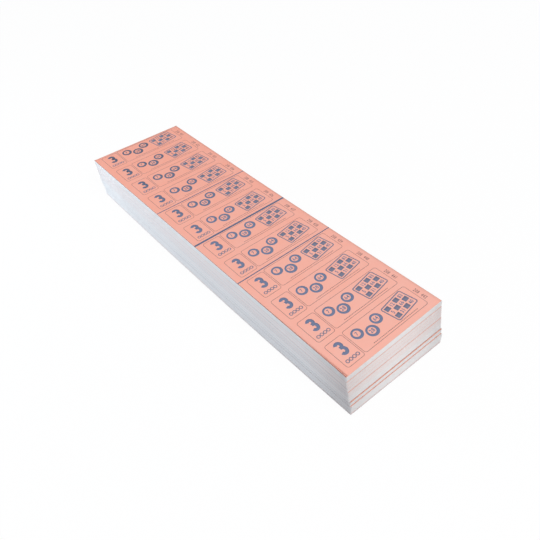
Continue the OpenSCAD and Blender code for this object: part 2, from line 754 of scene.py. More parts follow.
def leaf_boxes(node: str) -> np.ndarray:
    """Finds the boxes of the separate leaves in a node, from their levels.

    No two leaves of a node share a level, so every pair of levels is one leaf.

    Args:
        node: Name of the node.

    Returns:
        The low and the high corner of each leaf, lowest leaf first.
    """
    grain = 0.01 * MM
    points = mesh_points(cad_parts[node].data)
    _, level = np.unique(np.round(points[:, 2] / grain).astype(int), return_inverse=True)
    leaf = level.ravel() // 2
    low = np.full((leaf.max() + 1, 3), np.inf)
    high = np.full((leaf.max() + 1, 3), -np.inf)
    np.minimum.at(low, leaf, points)
    np.maximum.at(high, leaf, points)
    return np.stack([low, high], axis=1)


@dataclass(frozen=True)
class Stack:
    """Many leaves made at once, each on the same small grid.

    Every leaf is its flat box, made thicker upwards, with its cut edge wobbling a
    little in the plane, raised and moved across as the pile has settled. The fade
    is the share of the glued side's tint that is left at the far end.
    """

    settling: Settling
    grid: Steps
    thicker: float = 0.0
    wobble: float = 0.0
    seed: int = 1
    fade: float = 1.0

    def shape(self, boxes: np.ndarray, tints: np.ndarray) -> Shape:
        """Makes the leaves.

        Args:
            boxes: Low and high corner of each leaf.
            tints: The six tints of each leaf's sides, a row per leaf.

        Returns:
            All leaves as one shape.
        """
        columns, rows = self.grid
        across = np.linspace(0, 1, columns)[None, :, None]
        along = np.linspace(0, 1, rows)[None, None, :]
        low, high = boxes[:, 0, :, None, None], boxes[:, 1, :, None, None]
        size = high - low
        rng = np.random.default_rng(self.seed)
        jitter = rng.normal(0, 1, (2, len(boxes), columns, rows)) * self.wobble
        x = low[:, 0] + size[:, 0] * across + jitter[0] + self.settling.shift(along, low[:, 2])
        y = low[:, 1] + size[:, 1] * along + jitter[1]
        levels = [level + self.settling.lift(across, along, level)
                  for level in (high[:, 2] + self.thicker, low[:, 2])]
        points = np.stack([np.stack([x, y, level + 0 * x], axis=-1) for level in levels], axis=1)
        steps = 2 * columns * rows * np.arange(len(boxes))
        faces = (steps[:, None, None] + slab_faces(columns, rows)[None]).reshape(-1, 4)
        return Shape(points.reshape(-1, 3), [faces], face_tints(columns, rows, tints, self.fade))


@dataclass(frozen=True)
class GlueLines:
    """The glue between the leaves of one body, which stays flat and lies a little inside the cut edge."""

    body: str
    recess: float = 0.0
    wobble: float = 0.0
    seed: int = 1
    grid: Steps = (2, 9)

    def build(self, rack: FinishRack, settling: Settling) -> None:
        """Makes the lines as one piece.

        Args:
            rack: Where the finish comes from.
            settling: How the pile has settled.
        """
        node = f"{self.body}_glue"
        boxes = leaf_boxes(node)
        boxes[:, 0, :2] += self.recess
        boxes[:, 1, 1] -= self.recess
        stack = Stack(replace(settling, rise=0.0), self.grid, wobble=self.wobble, seed=self.seed)
        shape = stack.shape(boxes, np.zeros((len(boxes), SIDES)))
        piece = add_piece(f"{node}_lines", shape, rack[Finish.GLUE])
        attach(piece, self.body)
        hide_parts(node)


@dataclass(frozen=True)
class DigitStyle:
    """How numbers are set: the height of a digit, its width, its spacing and its turn in degrees.

    The width is a share of a digit's normal width, the spacing a share of its height.
    """

    height: float
    squeeze: float = 1.0
    pitch: float = 0.78
    turn: float = 0.0


class Numerals:
    """The ten digits as flat drawings, one unit high, made once and stamped many times."""

    def __init__(self, weight: float, roundness: int) -> None:
        """Draws each digit, its outline pushed outwards by the weight, with so many steps to a curve."""
        self.digits = {digit: self._draw(digit, weight, roundness) for digit in "0123456789"}

    @staticmethod
    def _draw(digit: str, weight: float, roundness: int) -> Flat:
        """Makes one digit a mesh and keeps its triangles, centred and one unit high.

        Args:
            digit: The digit.
            weight: Push of the outline.
            roundness: Steps in each curve.

        Returns:
            The digit's drawing.
        """
        curve = bpy.data.curves.new("digit", "FONT")
        curve.body = digit
        curve.resolution_u = roundness
        curve.offset = weight
        holder = bpy.data.objects.new("digit", curve)
        bpy.context.scene.collection.objects.link(holder)
        graph = bpy.context.evaluated_depsgraph_get()
        mesh = bpy.data.meshes.new_from_object(holder.evaluated_get(graph))
        mesh.calc_loop_triangles()
        points = mesh_points(mesh)[:, :2]
        faces = np.empty(3 * len(mesh.loop_triangles), np.int32)
        mesh.loop_triangles.foreach_get("vertices", faces)
        bpy.data.objects.remove(holder)
        bpy.data.curves.remove(curve)
        bpy.data.meshes.remove(mesh)
        low, high = points.min(axis=0), points.max(axis=0)
        points = (points - (low + high) / 2) / (high[1] - low[1])
        faces = faces.reshape(-1, 3)
        # Triangles that face down are turned over
        first = points[faces[:, 1]] - points[faces[:, 0]]
        second = points[faces[:, 2]] - points[faces[:, 0]]
        turned = first[:, 0] * second[:, 1] - first[:, 1] * second[:, 0] < 0
        return Flat(points, np.where(turned[:, None], faces[:, ::-1], faces))

    def write(self, numbers: Sequence[str], middles: np.ndarray, style: DigitStyle) -> Flat:
        """Sets numbers with their middles on given points.

        Args:
            numbers: The numbers to set.
            middles: Middle of each number, a row each.
            style: How they are set.

        Returns:
            All numbers as one drawing.
        """
        turned = turning(style.turn)
        width = style.height * style.squeeze
        step = style.pitch * width
        signs = [
            (digit, middles[row] + np.array([(place - (len(number) - 1) / 2) * step, 0]) @ turned)
            for row, number in enumerate(numbers)
            for place, digit in enumerate(number)
        ]
        drawings = []
        for digit, drawing in self.digits.items():
            origins = np.array([origin for sign, origin in signs if sign == digit])
            if len(origins):
                sized = drawing.points * np.array([width, style.height]) @ turned
                drawings.append(Flat(sized, drawing.faces).repeated(origins))
        return joined(drawings)


@dataclass(frozen=True)
class Sheet:
    """A printed leaf: how it lies, the body that it rides, where it bends, and the tickets along it."""

    lay: Lay
    body: str
    name: str
    columns: np.ndarray
    bend: dict[str, tuple[float, float, float]] | None = None
    tickets: int = 12

    @property
    def ticket(self) -> float:
        """Length of one ticket."""
        return self.lay.length / self.tickets

    def origins(self) -> np.ndarray:
        """Far left corner of every ticket, from the far end to the near end."""
        along = self.lay.near + self.lay.length - self.ticket * np.arange(self.tickets)
        return pairs(self.lay.left, along)

    def bars(self, middles: Sequence[float], widths: Sequence[float]) -> Flat:
        """Draws bars right across the leaf, cut where its grid has columns.

        Args:
            middles: Distance of each bar's middle from the far end.
            widths: Width of each bar.

        Returns:
            The bars, in the plane of the pile.
        """
        x = self.lay.left + self.lay.width * self.columns
        drawings = []
        for middle, width in zip(middles, widths):
            y = self.lay.near + self.lay.length - middle
            drawings.append(rectangles(pairs(x[:-1], y - width / 2), pairs(x[1:], y + width / 2)))
        return joined(drawings)

    def print_on(self, part: str, drawing: Flat, material: bpy.types.Material,
                 whole: bool = False) -> None:
        """Prints a drawing on the leaf and lets it go with the leaf.

        Args:
            part: What the drawing shows, for the piece's name.
            drawing: The drawing, in the plane of the pile.
            material: The ink.
            whole: Whether the drawing runs over the leaf's bend.
        """
        piece = add_piece(f"{self.name}_{part}", self.lay.printed(drawing), material)
        if whole and self.bend:
            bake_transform(piece)
        else:
            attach(piece, self.body)


@dataclass(frozen=True)
class Ball:
    """A numbered ball of the picture: a dark band about a round window, a little off its middle."""

    middle: Pair
    radius: float
    number: str
    window_shift: Pair = (-0.06, 0.06)
    window_share: float = 0.6
    digit_share: float = 0.68
    squeeze: float = 0.8
    steps: int = 32

    @property
    def window(self) -> np.ndarray:
        """Middle of the window."""
        return np.array(self.middle) + np.array(self.window_shift) * self.radius

    def band(self) -> Flat:
        """The band between the ball's edge and its window."""
        edge = circle(np.array(self.middle), self.radius, self.steps)
        return ring(edge, circle(self.window, self.window_share * self.radius, self.steps))

    def digits(self, bold: Numerals) -> Flat:
        """The number in the window."""
        style = DigitStyle(self.digit_share * self.radius, self.squeeze)
        return bold.write([self.number], self.window[None], style)


@dataclass
class CoverPrint:
    """The print of a cover leaf: on every ticket a count of games, a picture panel and a serial number.

    Places are measured from a ticket's far left corner. A bowl of the count is given
    by its side of the waist, its half width as a share of the height, and its angles.
    """

    rack: FinishRack
    bold: Numerals
    corner: float = 3.5 * MM
    outline: float = 0.6 * MM
    outline_steps: Steps = (6, 14)
    count_low: Pair = (10.6 * MM, -45.2 * MM)
    count_high: Pair = (39.2 * MM, -4.3 * MM)
    count_middle: Pair = (24.6 * MM, -19.6 * MM)
    count_height: float = 21.8 * MM
    count_stroke: float = 4.6 * MM
    count_waist: float = 0.03
    count_bowls: tuple[tuple[float, float, Pair], ...] = (
        (1.0, 0.165, (-105.0, 158.0)),
        (-1.0, 0.185, (-158.0, 105.0)),
    )
    count_steps: int = 26
    pip_places: tuple[float, ...] = (17.2 * MM, 22.6 * MM, 28.0 * MM, 33.4 * MM)
    pip_row: float = -37.9 * MM
    pip_radii: Pair = (2.7 * MM, 1.6 * MM)
    pip_steps: int = 18
    panel_low: Pair = (40.8 * MM, -44.0 * MM)
    panel_high: Pair = (151.7 * MM, -3.0 * MM)
    card_low: Pair = (105.0 * MM, -33.5 * MM)
    card_cell: Pair = (9.2 * MM, 8.0 * MM)
    card_cells: Steps = (4, 3)
    card_gap: float = 1.0 * MM
    card_frame: float = 1.5 * MM
    card_corner: float = 3.0 * MM
    card_steps: Steps = (5, 6)
    card_inset: float = 0.6 * MM
    card_turn: float = 9.0
    card_numbers: tuple[str, ...] = ("5", "31", "12", "66", "40", "83")
    card_style: DigitStyle = DigitStyle(5.6 * MM, squeeze=0.8)
    balls: tuple[Ball, ...] = (
        Ball((53.8 * MM, -17.2 * MM), 8.2 * MM, "7"),
        Ball((70.6 * MM, -26.4 * MM), 8.8 * MM, "28"),
        Ball((87.4 * MM, -16.2 * MM), 8.4 * MM, "64"),
    )
    dash_low: Pair = (58.0 * MM, -40.9 * MM)
    dash_size: Pair = (1.8 * MM, 1.0 * MM)
    dash_pitch: float = 2.6 * MM
    dashes: int = 30
    series: str = "208"
    series_place: Pair = (156.8 * MM, -20.2 * MM)
    first_serial: int = 431
    serial_place: Pair = (156.8 * MM, -32.6 * MM)
    serial_style: DigitStyle = DigitStyle(5.6 * MM, squeeze=0.6, pitch=0.84, turn=-90.0)
    cut_after: tuple[int, ...] = (4, 6, 8)
    cut_widths: tuple[float, ...] = (1.5 * MM, 3.2 * MM, 1.6 * MM)
    creep: float = 2.4 * MM
    creep_fade: float = 0.5

    def dress(self, sheet: Sheet) -> None:
        """Prints everything on a cover leaf.

        Args:
            sheet: The leaf to print.
        """
        origins = self._origins(sheet)
        for part, drawing, finish in (
            ("outlines", self._outlines(), Finish.BROWN),
            ("counts", self._counts(), Finish.BLUE),
            ("pips", self._pips(), Finish.SLATE),
            ("card_frames", self._on_card(self._card_frame()), Finish.SLATE),
            ("card_squares", self._on_card(self._card_squares()), Finish.SLATE),
            ("card_numbers", self._on_card(self._card_numbers()), Finish.BLUE),
            ("balls", joined([ball.band() for ball in self.balls]), Finish.BLUE),
            ("ball_numbers", joined([ball.digits(self.bold) for ball in self.balls]), Finish.BLUE),
            ("dashes", self._dashes(), Finish.BROWN),
        ):
            sheet.print_on(part, drawing.repeated(origins), self.rack[finish])
        sheet.print_on("serials", self._serials(origins), self.rack[Finish.BROWN])
        cuts = sheet.bars([after * sheet.ticket for after in self.cut_after], self.cut_widths)
        sheet.print_on("cut_lines", cuts, self.rack[Finish.CUT], whole=True)

    def _origins(self, sheet: Sheet) -> np.ndarray:
        """Far left corner of every ticket's print on a leaf, which has crept in at the near end."""
        # The nearest ticket's creep is full, and each ticket further on has a share of the one before
        creep = self.creep * self.creep_fade ** np.arange(sheet.tickets)[::-1]
        return sheet.origins() + pairs(0.0, creep)

    def _outlines(self) -> Flat:
        """Thin round-cornered frames of the count and of the panel."""
        ends = ((self.count_low, self.count_high), (self.panel_low, self.panel_high))
        return joined([
            rounded_band(np.array(low), np.array(high), self.corner, self.outline, self.outline_steps)
            for low, high in ends
        ])

    def _counts(self) -> Flat:
        """The number of games, a large 3 made of an upper and a lower bowl that meet in the waist.

        Returns:
            The numeral.
        """
        top = (self.count_height - self.count_stroke) / 2
        waist = self.count_waist * self.count_height
        bowls = []
        for side, share, turns in self.count_bowls:
            end = side * top
            middle = np.array(self.count_middle) + np.array([0.0, (waist + end) / 2])
            radii = np.array([share * self.count_height, abs(end - waist) / 2])
            bowls.append(bowl(middle, radii, turns, self.count_stroke, self.count_steps))
        return joined(bowls)

    def _pips(self) -> Flat:
        """Open round pips under the count."""
        middles = [np.array([place, self.pip_row]) for place in self.pip_places]
        return joined([ring(*(circle(middle, radius, self.pip_steps) for radius in self.pip_radii))
                       for middle in middles])

    def _card_size(self) -> np.ndarray:
        """Width and height of the pictured card's cells taken together."""
        return np.array(self.card_cell) * np.array(self.card_cells)

    def _on_card(self, drawing: Flat) -> Flat:
        """Tilts a drawing about the middle of the pictured card."""
        return drawing.turned(self.card_turn, np.array(self.card_low) + self._card_size() / 2)

    def _card_frame(self) -> Flat:
        """The pictured card's frame, a band with round corners.

        Returns:
            The frame.
        """
        edge = self.card_frame + self.card_gap
        low = np.array(self.card_low) - edge
        high = np.array(self.card_low) + self._card_size() + edge
        return rounded_band(low, high, self.card_corner, self.card_frame, self.card_steps)

    def _card_places(self, filled: bool) -> np.ndarray:
        """Finds the cells of the pictured card, which are filled and empty in turn.

        Args:
            filled: Whether the filled cells are wanted, or else the empty ones.

        Returns:
            Low corner of each of these cells.
        """
        cells = np.meshgrid(*(np.arange(count) for count in self.card_cells), indexing="ij")
        places = np.stack(cells, axis=-1).reshape(-1, 2)
        wanted = (places.sum(axis=1) % 2 == 0) == filled
        return np.array(self.card_low) + places[wanted] * np.array(self.card_cell)

    def _card_squares(self) -> Flat:
        """Filled squares in every other cell of the pictured card."""
        lows = self._card_places(filled=True)
        return rectangles(lows + self.card_inset, lows + np.array(self.card_cell) - self.card_inset)

    def _card_numbers(self) -> Flat:
        """Numbers in the other cells of the pictured card."""
        middles = self._card_places(filled=False) + np.array(self.card_cell) / 2
        return self.bold.write(self.card_numbers, middles, self.card_style)

    def _dashes(self) -> Flat:
        """A row of fine dashes under the picture."""
        lows = np.array(self.dash_low) + pairs(self.dash_pitch * np.arange(self.dashes), 0.0)
        return rectangles(lows, lows + np.array(self.dash_size))

    def _serials(self, origins: np.ndarray) -> Flat:
        """Serial numbers in the right margin, turned a quarter.

        Args:
            origins: Far left corner of every ticket's print.

        Returns:
            The numbers of all tickets.
        """
        series = [self.series] * len(origins)
        serials = [str(self.first_serial + ticket) for ticket in range(len(origins))]
        return joined([
            self.bold.write(series, origins + np.array(self.series_place), self.serial_style),
            self.bold.write(serials, origins + np.array(self.serial_place), self.serial_style),
        ])


@dataclass
class GamePrint:
    """The print of a game leaf: on every ticket a coloured border, a grid and fifteen numbers."""

    rack: FinishRack
    bold: Numerals
    border: float = 4.0 * MM
    corner: float = 5 * MM
    border_steps: Steps = (5, 24)
    margin: Pair = (11.0 * MM, 2.0 * MM)
    free_strip: float = 6 * MM
    line: float = 0.35 * MM
    style: DigitStyle = DigitStyle(8.0 * MM, squeeze=0.85)
    columns: int = 9
    rows: int = 3
    per_row: int = 5
    decade: int = 10
    seed: int = 15

    def dress(self, sheet: Sheet) -> None:
        """Prints everything on a game leaf.

        Args:
            sheet: The leaf to print.
        """
        # Every leaf has a draw of its own
        self.seed += 1
        origins = sheet.origins()
        low = np.array([self.margin[0], -sheet.ticket + self.margin[1]])
        high = np.array([sheet.lay.width - self.margin[1] - self.free_strip, -self.margin[1]])
        band = rounded_band(low, high, self.corner, self.border, self.border_steps)
        low, high = low + self.border, high - self.border
        cell = (high - low) / np.array([self.columns, self.rows])
        for part, drawing, finish in (
            ("borders", band, Finish.SALMON),
            ("grids", self._grid(low, high), Finish.BLUE),
        ):
            sheet.print_on(part, drawing.repeated(origins), self.rack[finish])
        rng = np.random.default_rng(self.seed)
        numbers, middles = [], []
        for origin in origins:
            for column, row, number in self._draw_ticket(rng):
                numbers.append(str(number))
                middles.append(origin + low + cell * np.array([column + 0.5, row + 0.5]))
        drawing = self.bold.write(numbers, np.array(middles), self.style)
        sheet.print_on("numbers", drawing, self.rack[Finish.BLUE])

    def _grid(self, low: np.ndarray, high: np.ndarray) -> Flat:
        """Lines between the cells of one ticket, those across cut into short runs that follow the leaf.

        Args:
            low: Low corner of the grid.
            high: High corner of the grid.

        Returns:
            The lines.
        """
        half = self.line / 2
        x = np.linspace(low[0], high[0], self.columns + 1)
        y = np.linspace(low[1], high[1], self.rows + 1)
        upright = rectangles(pairs(x - half, low[1]), pairs(x + half, high[1]))
        from_x, level = [part.ravel() for part in np.meshgrid(x[:-1], y, indexing="ij")]
        to_x = from_x + (x[1] - x[0])
        across = rectangles(pairs(from_x, level - half), pairs(to_x, level + half))
        return joined([upright, across])

    def _draw_ticket(self, rng: np.random.Generator) -> list[tuple[int, int, int]]:
        """Draws the numbers of one ticket: five in each row, in columns of ten, rising down a column.

        Args:
            rng: Source of the draw.

        Returns:
            Column, row and number of each, rows counted from the near side.
        """
        filled = np.zeros((self.rows, self.columns), bool)
        while not filled.any(axis=0).all():
            filled[:] = False
            for row in range(self.rows):
                filled[row, rng.choice(self.columns, self.per_row, replace=False)] = True
        found = []
        for column in range(self.columns):
            rows = np.flatnonzero(filled[:, column])
            start = self.decade * column
            choice = np.arange(max(start, 1), start + self.decade + (column == self.columns - 1))
            numbers = np.sort(rng.choice(choice, len(rows), replace=False))[::-1]
            found += [(column, int(row), int(number)) for row, number in zip(rows, numbers)]
        return found


@dataclass(frozen=True)
class EdgeTone:
    """How a bundle's edges are darkened.

    The rubbing of the covers' ends goes from low to high, and shade is the painted shade of the
    glued side. The lowest books, as many as foot says, and the highest, as many as
    soiled says, carry painted shade of their own, along the foot and where the bundle above meets them.
    """

    low: float
    high: float
    scatter: float
    shade: float
    foot: int = 0
    foot_shade: float = 1.0
    foot_wear: float = 0.9
    soiled: int = 2
    soil: float = 0.5
    streak: float = 0.3
    streak_books: int = 5
    upper_share: float = 0.25
    top_wear: float = 0.9
    neighbour: float = 0.5
    per_book: int = 3

    def covers(self, count: int, seed: int) -> np.ndarray:
        """Draws the tints of a bundle's cover leaves.

        The rubbing of the ends goes evenly from low to high with a seeded scatter that
        neighbours partly share, and the upper faces are printed by a share of it. The
        ends of the lowest few books are darkened in full, as painted shade along the foot,
        the glued edges of the highest few carry painted shade where the bundle above
        meets them, and the highest cover is printed in full.

        Args:
            count: Number of cover leaves.
            seed: Seed of the scatter.

        Returns:
            The six tints of each cover, lowest cover first.
        """
        rough = np.random.default_rng(seed).normal(0, self.scatter, count + 2)
        scatter = self.neighbour * rough[:-2] + rough[1:-1] + self.neighbour * rough[2:]
        ends = np.clip(np.linspace(self.low, self.high, count) + scatter, 0, 1)
        # Painted shade along the foot: the ends of the lowest books are darkened in full
        ends[:self.foot] = 1.0
        tints = np.zeros((count, SIDES))
        tints[:, UPPER_SIDE] = self.upper_share * ends
        tints[:, OPEN_SIDES] = -ends[:, None]
        tints[-1, UPPER_SIDE] = 1.0
        tints[-1, OPEN_SIDES] = -self.top_wear
        # Painted shade on the glued edges of the highest covers, where the bundle above meets them
        tints[-self.soiled:, GLUED_SIDE] = -self.soil
        return tints

    def games(self, count: int, seed: int) -> np.ndarray:
        """Draws the tints of a bundle's game leaves: plain, with painted shade and darker streaks along
        the glued side.

        The streaks are a seeded scatter about the painted shade, averaged over neighbouring
        books. The lowest few books and the highest few are darker still, as painted shade at the
        foot and where the bundle above meets them, and the ends of the lowest few carry painted shade as
        well.

        Args:
            count: Number of game leaves.
            seed: Seed of the streaks.

        Returns:
            The six tints of each leaf, lowest leaf first.
        """
        books = count // self.per_book
        window = np.full(self.streak_books, self.streak_books**-0.5)
        rough = np.random.default_rng(seed).normal(0, self.streak, books + self.streak_books - 1)
        glued = np.clip(self.shade + np.convolve(rough, window, "valid"), 0, 1)
        # Painted shade at the foot, and where the bundle above meets the highest books
        glued[:self.foot] = self.foot_shade
        glued[-self.soiled:] = self.soil
        tints = np.zeros((count, SIDES))
        # Painted shade on the ends of the lowest books
        tints[:self.per_book * self.foot, OPEN_SIDES] = -self.foot_wear
        tints[:, GLUED_SIDE] = -np.repeat(glued, self.per_book)
        return tints


class Tone(Enum):
    """Edge tones of the five bundles, by number."""

    # The glued-side shade, the foot and the boundary books carry painted shade
    BOTTOM = (1, EdgeTone(low=0.1, high=0.1, scatter=0.05, shade=0.6, foot=7, soiled=4, soil=1.0))
    SECOND = (2, EdgeTone(low=0.1, high=0.1, scatter=0.05, shade=0.3, soiled=5, soil=1.0))
    THIRD = (3, EdgeTone(low=0.0, high=0.7, scatter=0.14, shade=0.25))
    FOURTH = (4, EdgeTone(low=0.65, high=1.0, scatter=0.2, shade=0.25))
    FIFTH = (5, EdgeTone(low=0.08, high=0.08, scatter=0.06, shade=0.12))


@dataclass
class Bundle:
    """A bundle of closed books: its game leaves, its cover leaves and the glue between them."""

    number: int
    rack: FinishRack
    settling: Settling
    tone: EdgeTone
    grid: Steps = (3, 9)
    print_columns: int = 17
    thicker: float = 0.02 * MM
    wobble: float = 0.05 * MM
    recess: float = 0.12 * MM
    # Share of the glued side's painted shade that is left at the far end
    fade: float = 0.2
    worn_width: float = 2.0 * MM

    @property
    def body(self) -> str:
        """Body that the bundle rides."""
        return f"bundle_{self.number}"

    def build(self) -> Sheet:
        """Makes the bundle's three pieces.

        Returns:
            The bundle's uppermost cover leaf, ready to be printed.
        """
        covers = leaf_boxes(f"{self.body}_covers")
        games = leaf_boxes(f"{self.body}_books")
        cover_tints = self.tone.covers(len(covers), self.number)
        game_tints = self.tone.games(len(games), self.number)
        self._pile("cover_leaves", covers, cover_tints, Finish.COVER, "covers")
        self._pile("game_leaves", games, game_tints, Finish.GAME, "books")
        GlueLines(self.body, self.recess, self.wobble, self.number).build(self.rack, self.settling)
        low, high = covers[-1]
        size = high - low
        lay = Lay(low[0], low[1], size[0], size[1], high[2] + self.thicker, self.settling)
        return Sheet(lay, self.body, f"{self.body}_print", np.linspace(0, 1, self.print_columns))

    def wear(self, cover: Sheet) -> None:
        """Paints shade on the near edge of the uppermost cover, which sticks out of the pile, where the
        bundle above shades it.
        """
        edge = cover.bars([cover.lay.length - self.worn_width / 2], [self.worn_width])
        cover.print_on("painted_shade_strip", edge, self.rack[Finish.WORN])

    def _pile(self, part: str, boxes: np.ndarray, tints: np.ndarray, finish: Finish, node: str) -> None:
        """Makes the leaves of one kind as one piece.

        Args:
            part: What the leaves are, for the piece's name.
            boxes: Box of each leaf.
            tints: Tints of each leaf's sides.
            finish: Finish of the leaves.
            node: Ending of the node that the piece replaces.
        """
        stack = Stack(self.settling, self.grid, self.thicker, self.wobble, self.number, self.fade)
        shape = stack.shape(boxes, tints)
        piece = add_piece(f"{self.body}_{part}", shape, self.rack[finish])
        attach(piece, self.body)
        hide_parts(f"{self.body}_{node}")


class Level(Enum):
    """Leaves of the open book that turn: node, body, and share of the cover's curl and lip."""

    COVER = ("top_book_cover", "top_cover", 1.0)
    LEAF_1 = ("top_book_leaf_1", "top_leaf_1", 0.45)
    LEAF_2 = ("top_book_leaf_2", "top_leaf_2", 0.1)


@dataclass
class TopBook:
    """The open book on the pile: three leaves that turn at the glued edge, and the back leaf.

    Columns counts the grid's columns in a leaf's margin, in its bend and in the rest.
    Each painted shadow line is given by its leaf and its widths at the near and the far end.
    """

    rack: FinishRack
    settling: Settling
    curl: float = 0.5 * MM
    lip: float = 1.6 * MM
    trim: float = 2.2 * MM
    thickness: float = 0.08 * MM
    bend: float = 5.0 * MM
    rows: int = 91
    columns: tuple[int, int, int] = (7, 14, 40)
    back_columns: int = 34
    cover_tints: SideTints = SideTints(upper=1.0, near=0.9, free=0.75, far=0.75, glued=0.9)
    leaf_tints: SideTints = SideTints(near=0.3, glued=0.9)
    margin_inset: float = 0.05 * MM
    margin_columns: int = 7
    # Painted shadow lines along the glued edges: the leaf, and the width at the near and the far end
    edge_lines: tuple[tuple[Level, Pair], ...] = (
        (Level.COVER, (0.12 * MM, 0.4 * MM)),
        (Level.LEAF_1, (0.75 * MM, 0.2 * MM)),
    )
    edge_inset: float = 0.01 * MM
    edge_rise: float = 0.04 * MM
    edge_power: float = 6.0

    def build(self) -> dict[Level, Sheet]:
        """Makes the leaves that turn, and the glue.

        Returns:
            The leaves that turn, ready to be printed.
        """
        sheets = {level: self._turning_leaf(level) for level in Level}
        for level in (Level.LEAF_1, Level.LEAF_2):
            self._margin(sheets[level])
        # Painted shadow under the lifted glued edges
        for level, widths in self.edge_lines:
            self._edge_line(sheets[level], *widths)
        GlueLines("top_book").build(self.rack, self.settling)
        return sheets

    def back_leaf(self) -> Sheet:
        """Makes the last leaf, which stays flat on the pile.

        Returns:
            The leaf, ready to be printed.
        """
        node = "top_book_back_leaf"
        lay = self._lay(node, node, 0.0)
        columns = np.linspace(0, 1, self.back_columns)
        shape = lay.sheet(columns, np.linspace(0, 1, self.rows), self.thickness, SideTints())
        piece = add_piece(f"{node}_sheet", shape, self.rack[Finish.GAME])
        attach(piece, "top_book")
        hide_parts(node)
        return Sheet(lay, "top_book", f"{node}_print", columns)

    def _columns(self, fold: float, width: float) -> np.ndarray:
        """Shares across a leaf for its grid: close together in the margin and where it bends.

        Args:
            fold: Distance of the fold from the glued edge.
            width: Width of the leaf.

        Returns:
            The shares.
        """
        in_margin, in_bend, in_rest = self.columns
        glued = np.linspace(0, fold, in_margin)[:-1]
        bent = np.linspace(fold, fold + self.bend, in_bend)[:-1]
        free = np.linspace(fold + self.bend, width, in_rest)
        return np.concatenate([glued, bent, free]) / width

    def _lay(self, node: str, stub: str, share: float, trim: float = 0.0) -> Lay:
        """Reads from the frame how a leaf of the book lies.

        Args:
            node: Node of the leaf's free part.
            stub: Node of its glued margin.
            share: Share of the cover's curl and lip.
            trim: How far its glued edge is trimmed at the near end.

        Returns:
            The lay of the whole leaf.
        """
        low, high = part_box(stub)[0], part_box(node)[1]
        sizes = (high.x - low.x, high.y - low.y)
        return Lay(low.x, low.y, *sizes, high.z, self.settling, share * self.curl, share * self.lip, trim)

    def _turning_leaf(self, level: Level) -> Sheet:
        """Makes one leaf as a whole sheet, its grid close together at its fold.

        Args:
            level: The leaf.

        Returns:
            The leaf, ready to be printed.
        """
        node, body, share = level.value
        stub = f"{node}_stub"
        trim, finish, tints = 0.0, Finish.GAME, self.leaf_tints
        if level is Level.COVER:
            trim, finish, tints = self.trim, Finish.COVER, self.cover_tints
        lay = self._lay(node, stub, share, trim)
        low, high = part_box(node)
        columns = self._columns(low.x - lay.left, lay.width)
        shape = lay.sheet(columns, np.linspace(0, 1, self.rows), self.thickness, tints)
        piece = add_piece(f"{node}_sheet", shape, self.rack[finish])
        bend = {"start": (low.x, 0.0, high.z), "end": (low.x + self.bend, 0.0, high.z)}
        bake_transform(piece)
        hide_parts(node, stub)
        return Sheet(lay, body, f"{node}_print", columns, bend)

    def _margin(self, sheet: Sheet) -> None:
        """Prints the coloured margin along a game leaf's glued edge, cut into cells that follow the leaf.

        Args:
            sheet: The leaf.
        """
        lay = sheet.lay
        gap = 2 * self.margin_inset
        pitch = lay.length / (self.rows - 1)
        starts = pairs(0.0, pitch * np.arange(self.rows - 1))
        lows = np.array([lay.left, lay.near]) + self.margin_inset + starts
        columns = np.linspace(0, lay.margin - gap, self.margin_columns)
        cells = [
            rectangles(lows + np.array([left, 0.0]), lows + np.array([right, pitch - gap]))
            for left, right in zip(columns[:-1], columns[1:])
        ]
        shape = lay.printed(joined(cells))
        piece = add_piece(f"{sheet.name}_margin", shape, self.rack[Finish.SALMON])
        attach(piece, "top_book")

    def _edge_line(self, sheet: Sheet, near: float, far: float) -> None:
        """Paints shadow as a dark line along a leaf's glued edge, where the lifted leaves of the book
        shade each other.

        Its width goes from the near end's to the far end's with a power of the share
        left to the far end.

        Args:
            sheet: The leaf.
            near: Width at the near end.
            far: Width at the far end.
        """
        lay = sheet.lay
        along = np.linspace(0, 1, self.rows)
        edge = pairs(lay.left + self.edge_inset, lay.near + lay.length * along)
        width = far + (near - far) * (1 - along) ** self.edge_power
        shape = lay.printed(strip(edge, edge + pairs(width, 0.0)), rise=self.edge_rise)
        piece = add_piece(f"{sheet.name}_edge_line", shape, self.rack[Finish.EDGE])
        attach(piece, "top_book")


@dataclass(frozen=True)
class SoftBox:
    """A soft studio lamp: where it hangs, where it points, its size, power and colour."""

    name: str
    place: tuple[float, float, float]
    target: tuple[float, float, float]
    side: float
    power: float
    colour: tuple[float, float, float]

    def build(self) -> None:
        """Hangs the lamp."""
        lamp = bpy.data.lights.new(self.name, "AREA")
        lamp.size = self.side
        lamp.energy = self.power
        lamp.color = self.colour
        holder = bpy.data.objects.new(self.name, lamp)
        aim = Vector(self.target) - Vector(self.place)
        turned = aim.to_track_quat("-Z", "Y").to_matrix().to_4x4()
        holder.matrix_world = Matrix.Translation(self.place) @ turned
        holder.visible_camera = False
        bpy.context.scene.collection.objects.link(holder)


